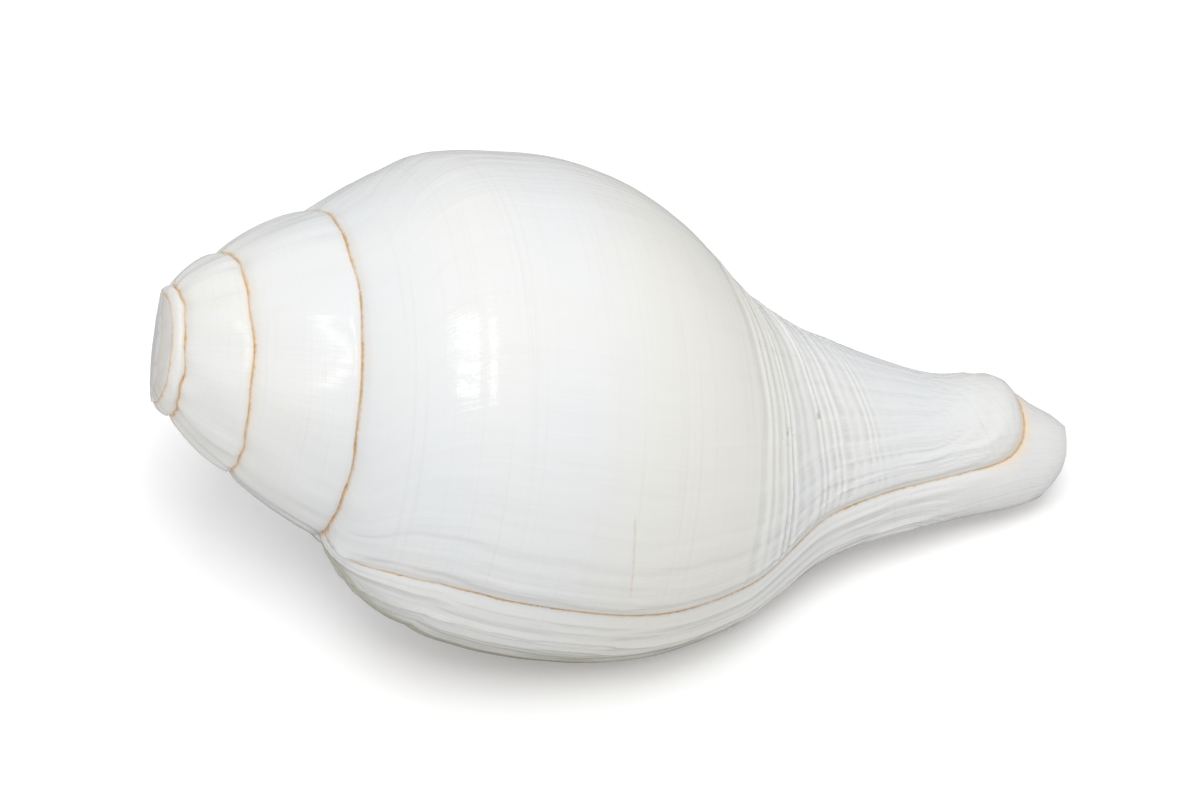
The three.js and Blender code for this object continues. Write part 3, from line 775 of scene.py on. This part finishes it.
@dataclass
class Surveyor:
    """Finds where on the shell each vertex of the finished mesh lies, and stores it."""

    form: ShellForm
    hollow: Hollow
    on_plane: float = 0.0005
    near_outside: float = 0.2
    far: float = 60.0

    def survey(self, points: Array) -> dict[str, Array]:
        """Works back from points to turns and distances.

        Args:
            points: vertices in the shell's frame, in millimetres.

        Returns:
            Attribute name to a value for each vertex: the growth and spiral places, the
            station, the distances to the seam, the suture, the lip and the ground face,
            whether it is inside, and the height of the fine relief.
        """
        form = self.form
        s = points[:, 0]
        radius = np.hypot(points[:, 1], points[:, 2])
        azimuth = np.arctan2(-points[:, 1], points[:, 2])
        share = ((azimuth - form.lip_azimuth) / TURN) % 1
        lip_radius = form.radius(s, np.zeros_like(s))
        early_radius = form.radius(s, np.full_like(s, -1))
        near_plane = (share < self.on_plane) | (share > 1 - self.on_plane)
        on_lip = near_plane & (radius > (lip_radius + early_radius) / 2)
        share = np.where(on_lip, 1, np.where(near_plane & (s > form.suture_station(0)), 0, share))
        t = share - 1
        for _ in range(5):
            t = np.where(s < form.suture_station(t) - 0.05, t - 1, t)
        outside = form.radius(s, t)
        columella = form.radius(s, t - 1)
        wall = self.hollow.inner_radius(s, t)
        gap_out, gap_in, gap_wall = (np.abs(radius - r) for r in (outside, columella, wall))
        rim = np.abs(t) * TURN * outside < 1.2 * form.lip_round
        kind = np.where(gap_in < gap_wall, Skin.COLUMELLA.value, Skin.WALL.value)
        kind = np.where((gap_out < self.near_outside) | rim, Skin.OUTSIDE.value, kind)
        is_outside = kind == Skin.OUTSIDE.value
        turn = np.where(kind == Skin.COLUMELLA.value, t - 1, t)
        has_seam = is_outside & (turn > -form.seam_fade[1])
        seam = np.where(has_seam, form.seam_distance(s, turn, form.plain_radius(s, turn)), self.far)
        suture = np.where(is_outside, form.suture_distance(s, turn), self.far)
        lean = form.ground_lean
        ground = (s - form.ground_station) * np.cos(lean) + points[:, 2] * np.sin(lean)
        return {
            "growth": form.growth_place(s, turn),
            "station": s,
            "spiral": form.spiral_place(s, turn),
            "seam": np.clip(seam, -self.far, self.far),
            "suture": np.clip(suture, 0, self.far),
            "lip": np.clip(-turn * TURN * outside, 0, self.far),
            "inside": (~is_outside).astype(float),
            "ground": np.abs(ground),
            "relief": np.where(is_outside, form.fine_relief(s, turn), 0),
        }

    @staticmethod
    def store(mesh: bpy.types.Mesh, values: dict[str, Array]) -> None:
        """Writes each value as a float attribute of the vertices."""
        for name, value in values.items():
            layer = mesh.attributes.new(name, "FLOAT", "POINT")
            layer.data.foreach_set("value", np.ascontiguousarray(value, np.float32))


class NodeSheet:
    """A short way to write a node tree."""

    def __init__(self, tree: bpy.types.NodeTree) -> None:
        """Keeps the tree that the nodes go in."""
        self.tree = tree

    def add(self, kind: str, inputs: dict[str | int, object] | None = None,
            **settings: object) -> bpy.types.Node:
        """Adds a node.

        Args:
            kind: Blender's name of the node type.
            inputs: input name or number to a value or a socket to link.
            settings: properties of the node.

        Returns:
            The node.
        """
        node = self.tree.nodes.new(kind)
        for key, value in settings.items():
            setattr(node, key, value)
        for key, value in (inputs or {}).items():
            if isinstance(value, Socket):
                self.tree.links.new(value, node.inputs[key])
            else:
                node.inputs[key].default_value = value
        return node

    def math(self, operation: str, *values: object) -> Socket:
        """Adds a Math node on these values or sockets and gives its output."""
        return self.add("ShaderNodeMath", dict(enumerate(values)), operation=operation).outputs[0]

    def times(self, first: object, *others: object) -> Socket:
        """Multiplies values or sockets."""
        for other in others:
            first = self.math("MULTIPLY", first, other)
        return first

    def attribute(self, name: str) -> Socket:
        """Gives a float attribute of the vertices."""
        return self.add("ShaderNodeAttribute", attribute_name=name).outputs["Fac"]

    def mix(self, share: object, first: object, second: object) -> Socket:
        """Mixes two colours by a share."""
        inputs = {0: share, 6: first, 7: second}
        return self.add("ShaderNodeMix", inputs, data_type="RGBA").outputs[2]

    def coated(self, base: object, coats: Sequence[tuple[object, object]]) -> Socket:
        """Lays colours over a base, one after the other.

        Args:
            base: the colour underneath.
            coats: the share and the colour of each coat, the lowest first.

        Returns:
            The colour on top.
        """
        for share, colour in coats:
            base = self.mix(share, base, colour)
        return base

    def ramp(self, value: object, low: float, high: float, to_low: float = 0.0,
             to_high: float = 1.0) -> Socket:
        """Maps a value smoothly from one range to another."""
        inputs = {"Value": value, "From Min": low, "From Max": high, "To Min": to_low, "To Max": to_high}
        return self.add("ShaderNodeMapRange", inputs, interpolation_type="SMOOTHSTEP").outputs[0]

    def noise(self, vector: object, scale: float, detail: float = 3.0,
              rough: float = 0.5) -> Socket:
        """Adds a noise texture and gives its value."""
        inputs = {"Vector": vector, "Scale": scale, "Detail": detail, "Roughness": rough}
        return self.add("ShaderNodeTexNoise", inputs).outputs["Fac"]

    def vector(self, *parts: object) -> Socket:
        """Joins three values into a vector."""
        return self.add("ShaderNodeCombineXYZ", dict(enumerate(parts))).outputs[0]


def band_group() -> bpy.types.NodeTree:
    """Makes the node group of a soft line: exp(-((distance - centre) / width)^2)."""
    tree = bpy.data.node_groups.new("soft_line", "ShaderNodeTree")
    for name, default in (("Distance", 0.0), ("Centre", 0.0), ("Width", 1.0)):
        socket = tree.interface.new_socket(name, in_out="INPUT", socket_type="NodeSocketFloat")
        socket.default_value = default
    tree.interface.new_socket("Mask", in_out="OUTPUT", socket_type="NodeSocketFloat")
    sheet = NodeSheet(tree)
    given = sheet.add("NodeGroupInput").outputs
    offset = sheet.math("SUBTRACT", given["Distance"], given["Centre"])
    share = sheet.math("DIVIDE", offset, given["Width"])
    square = sheet.math("MULTIPLY", share, share)
    mask = sheet.math("EXPONENT", sheet.math("MULTIPLY", square, -1.0))
    sheet.add("NodeGroupOutput", {"Mask": mask})
    return tree


@dataclass(frozen=True)
class Porcelain:
    """The polished shell: white with amber lines, peach tints and fine growth lines."""

    white: Colour = (0.81, 0.81, 0.80, 1)
    cool: Colour = (0.78, 0.80, 0.815, 1)
    cream: Colour = (0.79, 0.775, 0.71, 1)
    yellow: Colour = (0.80, 0.72, 0.52, 1)
    amber: Colour = (0.66, 0.40, 0.14, 1)
    rust: Colour = (0.34, 0.17, 0.05, 1)
    tan: Colour = (0.66, 0.52, 0.34, 1)
    peach: Colour = (0.83, 0.64, 0.44, 1)
    # Olive colour, also used as painted contact shade along the lip
    olive_and_painted_shade: Colour = (0.34, 0.31, 0.19, 1)
    stone: Colour = (0.66, 0.67, 0.65, 1)
    # Brownish colour of the painted shade above the seam
    painted_seam_shade: Colour = (0.55, 0.50, 0.42, 1)
    # groove: grey of the fine striae, and also painted shade, with some dirt, laid in the valleys of the
    # fine relief near the seam
    groove: Colour = (0.60, 0.595, 0.57, 1)
    roughness: float = 0.07
    line_depth: float = 0.00025
    scar_slant: float = 0.26
    scar_place: float = 68.87
    scar_span: Pair = (6.4, 19.9)
    marks: Points = ((89.8, 31.2, 1.2, 1.6), (97.3, 32.4, 0.7, 2))
    face_rings: Points = ((2.7, 0.3, 0.75), (5.6, 0.2, 0.45))

    def build(self, face_centre: Sequence[float]) -> bpy.types.Material:
        """Makes the material from the attributes that the surveyor stored.

        Args:
            face_centre: centre of the ground face, in metres.

        Returns:
            The material.
        """
        material = bpy.data.materials.new("porcelain")
        material.use_nodes = True
        tree = material.node_tree
        tree.nodes.clear()
        sheet = NodeSheet(tree)
        soft_line = band_group()

        def band(distance: object, centre: object, width: object) -> Socket:
            """Places a soft line."""
            inputs = {"Distance": distance, "Centre": centre, "Width": width}
            return sheet.add("ShaderNodeGroup", inputs, node_tree=soft_line).outputs["Mask"]

        times, ramp, noise = sheet.times, sheet.ramp, sheet.noise
        place = sheet.add("ShaderNodeTexCoord").outputs["Object"]
        names = ("growth", "spiral", "lip", "station", "inside", "seam", "suture", "ground", "relief")
        given = {name: sheet.attribute(name) for name in names}
        back, spiral, lip, station = (given[name] for name in names[:4])
        wobble = sheet.math("SUBTRACT", noise(place, 420.0, 2.0), 0.5)
        jag = sheet.math("SUBTRACT", noise(place, 1400.0, 2.0), 0.5)
        shift = sheet.math("MULTIPLY_ADD", wobble, 0.25, times(jag, 0.35))
        seam = sheet.math("ADD", given["seam"], shift)
        suture = sheet.math("ADD", given["suture"], shift)
        on_face = ramp(given["ground"], 0.04, 0.0)

        growth = noise(sheet.vector(back, times(spiral, 0.025), 0.0), 0.45, 4.0, 0.6)
        fine_growth = noise(sheet.vector(back, times(spiral, 0.04), 7.0), 1.7, 2.0, 0.5)
        striae = noise(sheet.vector(times(back, 0.009), spiral, 3.0), 1.3, 4.0, 0.65)
        cloud = noise(place, 28.0, 3.0, 0.55)
        mottle = noise(place, 160.0, 3.0, 0.6)
        grain = noise(place, 900.0, 2.0)

        near_apex = ramp(station, 26.0, 0.0)
        patch = ramp(mottle, 0.3, 0.6, 0.45, 1.0)
        pores = sheet.add("ShaderNodeTexVoronoi", {"Vector": place, "Scale": 75.0})
        fleck = ramp(pores.outputs["Distance"], 0.03, 0.012)
        near_seam = ramp(sheet.math("ABSOLUTE", given["seam"]), 25.0, 4.0, 0.32, 0.55)
        # Olive near the lip at the lower edge of the young band: partly the shell's own olive tint, partly
        # painted contact shade where the band curves under towards the floor
        young = times(ramp(lip, 15.0, 5.0), ramp(growth, 0.35, 0.65, 0.15, 0.45))
        young = sheet.math("MAXIMUM", young, ramp(lip, 8.0, 4.0, 0.0, 0.7))
        on_band = times(ramp(seam, -1.0, -4.0), ramp(station, 104.0, 88.0))
        line_colour = sheet.mix(ramp(grain, 0.57, 0.68, 0.0, 0.5), self.amber, self.rust)
        scar_low, scar_high = self.scar_span
        along = sheet.math("MULTIPLY_ADD", given["seam"], self.scar_slant, station)
        scar = times(
            band(along, self.scar_place, 0.17),
            ramp(given["seam"], scar_low - 1, scar_low),
            ramp(given["seam"], scar_high + 1, scar_high),
        )
        base = sheet.coated(sheet.mix(ramp(cloud, 0.35, 0.65), self.cool, self.white), [
            (times(ramp(station, 48.0, 72.0), ramp(station, 100.0, 80.0), 0.75), self.cream),
            (ramp(growth, 0.5, 0.78, 0.0, 0.3), self.cream),
            (ramp(striae, 0.52, 0.75, 0.0, 0.18), self.groove),
            (times(near_apex, 0.25), self.cream),
            (times(near_apex, ramp(grain, 0.62, 0.7), ramp(cloud, 0.5, 0.6), 0.6), self.yellow),
            # Painted shade, with some dirt: the valleys of the cords and growth lines are greyed, most near
            # the seam
            (times(ramp(given["relief"], 0.02, -0.15), near_seam), self.groove),
            # Painted shade: a brownish band just above the seam on the old side, where the surface rounds
            # down into it
            (times(band(seam, 1.0, 0.9), 0.22), self.painted_seam_shade),
            (times(band(suture, 0.0, 0.9), ramp(cloud, 0.4, 0.65, 0.1, 0.4)), self.peach),
            (times(band(seam, -0.2, 1.1), ramp(station, 129.0, 139.0), 0.55), self.peach),
            (times(fleck, ramp(mottle, 0.45, 0.6), 0.5), self.amber),
            (times(band(suture, 0.0, 0.2), patch, 0.9), line_colour),
            (times(band(seam, 0.0, 0.17), patch, 0.95), line_colour),
            # Olive colour and painted contact shade along the young band's lower edge
            (times(young, on_band), self.olive_and_painted_shade),
            (times(band(lip, 0.0, 0.7), 0.7), self.amber),
            (times(given["inside"], 0.3), self.peach),
            (times(scar, ramp(grain, 0.35, 0.6, 0.15, 0.5)), self.tan),
            *(
                (times(band(station, at, width), band(back, behind, length),
                       ramp(grain, 0.5, 0.62, 0.0, 0.5)), self.rust)
                for at, behind, width, length in self.marks
            ),
        ])

        offset = sheet.add("ShaderNodeVectorMath", {0: place, 1: tuple(face_centre)}, operation="DISTANCE")
        out = sheet.math("MULTIPLY_ADD", offset.outputs["Value"], 1 / MILLIMETRE, times(wobble, 1.6))
        face = sheet.coated(
            sheet.mix(ramp(mottle, 0.4, 0.6), self.stone, self.cool),
            [(times(band(out, ring, width), strength), self.amber)
             for ring, width, strength in self.face_rings],
        )
        base = sheet.mix(on_face, base, face)

        lines = times(
            sheet.math("ADD", growth, times(fine_growth, 0.3)),
            ramp(sheet.math("ABSOLUTE", seam), 18.0, 3.0, 0.6, 1.0),
            ramp(station, 24.0, 40.0, 0.3, 1.0),
            ramp(back, 60.0, 95.0, 1.0, 2.6),
        )
        height = sheet.math("MULTIPLY_ADD", striae, ramp(station, 118.0, 96.0, 0.0, 0.18), lines)
        height = times(height, sheet.math("SUBTRACT", 1.0, on_face))
        bump = sheet.add("ShaderNodeBump", {"Strength": 0.7, "Distance": self.line_depth, "Height": height})
        shader = sheet.add("ShaderNodeBsdfPrincipled", {
            "Base Color": base,
            "Roughness": ramp(mottle, 0.35, 0.7, self.roughness, self.roughness + 0.06),
            "IOR": 1.5,
            "Coat Weight": 0.25,
            "Coat Roughness": 0.04,
            "Normal": bump.outputs["Normal"],
        })
        sheet.add("ShaderNodeOutputMaterial", {"Surface": shader.outputs[0]})
        return material


@dataclass
class Conch:
    """The whole shell, grown as one piece."""

    form: ShellForm = field(default_factory=ShellForm)
    rest: Rest = field(default_factory=Rest)
    finish: Porcelain = field(default_factory=Porcelain)
    sharp_angle: float = float(np.radians(50))

    def carve(self, body: bpy.types.Object, tools: Sequence[bpy.types.Object]) -> bpy.types.Mesh:
        """Takes the tools out of the body.

        Args:
            body: the closed outside.
            tools: closed solids to take away.

        Returns:
            The mesh that is left. The objects are removed.
        """
        for tool in tools:
            cut = body.modifiers.new(tool.name, "BOOLEAN")
            cut.operation = "DIFFERENCE"
            cut.solver = "MANIFOLD"
            cut.object = tool
        depsgraph = bpy.context.evaluated_depsgraph_get()
        mesh = bpy.data.meshes.new_from_object(body.evaluated_get(depsgraph), depsgraph=depsgraph)
        for thing in (body, *tools):
            bpy.data.objects.remove(thing)
        return mesh

    def build(self) -> bpy.types.Object:
        """Builds the shell, dresses it and lays it on the floor."""
        hollow = Hollow(self.form)
        parts = {"outside": OuterSkin(self.form), "hollow": hollow, "ground": GroundFace(self.form)}
        solids = []
        for name, part in parts.items():
            points, faces = part.build()
            volume = signed_volume(points, faces)
            logger.info("%s: %d triangles, %.1f cm3", name, len(faces), volume / 1000)
            if volume < 0:
                faces = faces[:, ::-1]
            solids.append(add_object(name, mesh_from_arrays(name, points, faces)))
        mesh = self.carve(solids[0], solids[1:])
        points = np.empty(len(mesh.vertices) * 3, np.float32)
        mesh.vertices.foreach_get("co", points)
        points = points.reshape(-1, 3).astype(float)
        surveyor = Surveyor(self.form, hollow)
        surveyor.store(mesh, surveyor.survey(points))
        mesh.vertices.foreach_set("co", self.rest.points(points).ravel().astype(np.float32))
        mesh.update()
        mesh.name = "conch"
        mesh.shade_smooth()
        mesh.set_sharp_from_angle(angle=self.sharp_angle)
        mesh.materials.clear()
        face_centre = self.rest.points(np.array([self.form.ground_station, 0, 0]))
        mesh.materials.append(self.finish.build(face_centre.tolist()))
        return add_object("conch", mesh)


@dataclass
class PhotoCamera:
    """The camera, placed from the shell's own frame so that the shell shows as photographed."""

    rest: Rest
    tilt: float = float(np.radians(20.5))
    roll: float = float(np.radians(5.8))
    aim_station: float = 69.6
    aim_drop: float = 0.775
    distance: float = 550
    lens: float = 106.45
    sensor: float = 36

    def axes(self) -> tuple[Array, Array, Array]:
        """Right, up and back of the camera in the shell's frame."""
        tilt_cos, tilt_sin = np.cos(self.tilt), np.sin(self.tilt)
        roll_cos, roll_sin = np.cos(self.roll), np.sin(self.roll)
        right = np.array([tilt_cos * roll_cos, roll_sin, tilt_sin * roll_cos])
        up = np.array([-tilt_cos * roll_sin, roll_cos, -tilt_sin * roll_sin])
        back = np.array([-tilt_sin, 0, tilt_cos])
        return right, up, back

    def build(self) -> bpy.types.Object:
        """Makes the scene's camera."""
        right, up, back = self.axes()
        position = np.array([self.aim_station, 0, 0]) - self.aim_drop * up + self.distance * back
        data = bpy.data.cameras.new("camera")
        data.lens, data.sensor_width = self.lens, self.sensor
        data.clip_start, data.clip_end = 0.01, 20
        camera = add_object("camera", data)
        matrix = Matrix.Identity(4)
        for column, axis in enumerate((right, up, back)):
            for row, value in enumerate(self.rest.directions(axis)):
                matrix[row][column] = value
        matrix.translation = self.rest.points(position)
        camera.matrix_world = matrix
        bpy.context.scene.camera = camera
        return camera


@dataclass(frozen=True)
class SoftBox:
    """One soft light, aimed at the shell."""

    name: str
    right: float
    up: float
    back: float
    width: float
    height: float
    power: float
    mirrored: bool = True


@dataclass
class Studio:
    """A plain pale floor and soft light, with a window's panes for the shell to reflect."""

    camera: bpy.types.Object
    floor_size: float = 6
    floor_colour: Colour = (0.86, 0.86, 0.86, 1)
    floor_glow: float = 0.2
    world_strength: float = 0.56
    mirrored_share: float = 0.55
    target: tuple[float, float, float] = (-0.03, -0.015, 0.055)
    key: SoftBox = SoftBox("key", 0.1, 0.58, 0.95, 0.7, 0.7, 7.2, mirrored=False)
    window: SoftBox = SoftBox("pane", -0.1, 0.3, 1.0, 0.74, 0.8, 1.5)
    panes: tuple[int, int] = (2, 4)
    glazing_bars: Pair = (0.24, 0.09)

    def build_floor(self) -> bpy.types.Object:
        """Makes the floor: one large square under the shell, dimmer where the gloss mirrors it."""
        half = self.floor_size / 2
        corners = np.array([(-half, -half, 0), (half, -half, 0), (half, half, 0), (-half, half, 0)])
        floor = add_object("floor", mesh_from_arrays("floor", corners, np.array([(0, 1, 2, 3)])))
        material = bpy.data.materials.new("floor")
        material.use_nodes = True
        material.node_tree.nodes.clear()
        sheet = NodeSheet(material.node_tree)
        path = sheet.add("ShaderNodeLightPath").outputs
        lit = sheet.add("ShaderNodeBsdfDiffuse", {"Color": self.floor_colour})
        glow = sheet.add("ShaderNodeEmission", {
            "Strength": sheet.times(path["Is Camera Ray"], self.floor_glow)})
        bright = sheet.add("ShaderNodeAddShader", {0: lit.outputs[0], 1: glow.outputs[0]})
        dark = sheet.add("ShaderNodeBsdfDiffuse", {"Color": (0, 0, 0, 1)})
        dimmed = sheet.times(path["Is Glossy Ray"], 1 - self.mirrored_share)
        mixed = sheet.add("ShaderNodeMixShader", {0: dimmed, 1: bright.outputs[0], 2: dark.outputs[0]})
        sheet.add("ShaderNodeOutputMaterial", {"Surface": mixed.outputs[0]})
        floor.data.materials.append(material)
        return floor

    def build_light(self, box: SoftBox) -> bpy.types.Object:
        """Makes a soft light at its place round the camera's view, aimed at the shell."""
        data = bpy.data.lights.new(box.name, "AREA")
        data.shape = "RECTANGLE"
        data.size, data.size_y = box.width, box.height
        data.energy = box.power
        light = add_object(box.name, data)
        light.visible_glossy = box.mirrored
        turn = self.camera.matrix_world.to_3x3()
        target = Matrix.Translation(self.target).translation
        offset = turn.col[0] * box.right + turn.col[1] * box.up + turn.col[2] * box.back
        light.location = target + offset
        light.rotation_euler = offset.to_track_quat("Z", "Y").to_euler()
        return light

    def window_panes(self) -> list[SoftBox]:
        """Splits the window into its panes, with glazing bars between them."""
        window = self.window
        across, down = self.panes
        width, height = window.width / across, window.height / down
        gap_across, gap_down = self.glazing_bars
        return [
            SoftBox(
                f"{window.name}_{column}_{row}",
                window.right + (column - (across - 1) / 2) * width,
                window.up + (row - (down - 1) / 2) * height,
                window.back, width - gap_across, height - gap_down,
                window.power / (across * down),
            )
            for column in range(across) for row in range(down)
        ]

    def build(self) -> None:
        """Makes the floor, the lights and the world."""
        self.build_floor()
        for box in (self.key, *self.window_panes()):
            self.build_light(box)
        world = bpy.data.worlds.new("studio")
        world.use_nodes = True
        sheet = NodeSheet(world.node_tree)
        glossy = sheet.add("ShaderNodeLightPath").outputs["Is Glossy Ray"]
        low, high = self.world_strength * self.mirrored_share, self.world_strength
        strength = sheet.math("MULTIPLY_ADD", glossy, low - high, high)
        background = world.node_tree.nodes["Background"]
        background.inputs["Color"].default_value = (1, 1, 1, 1)
        world.node_tree.links.new(strength, background.inputs["Strength"])
        bpy.context.scene.world = world
        bpy.context.scene.view_settings.view_transform = "Standard"


def main() -> None:
    """Builds the shell and its studio, and reports each piece."""
    logging.basicConfig(level=logging.INFO, format="%(message)s")
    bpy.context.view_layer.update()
    rest = Rest()
    camera = PhotoCamera(rest).build()
    shell = Conch(rest=rest).build()
    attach(shell, "root")
    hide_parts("shell")
    logger.info("%s: %d polygons", shell.name, len(shell.data.polygons))
    Studio(camera).build()


if __name__ == "__main__":
    main()
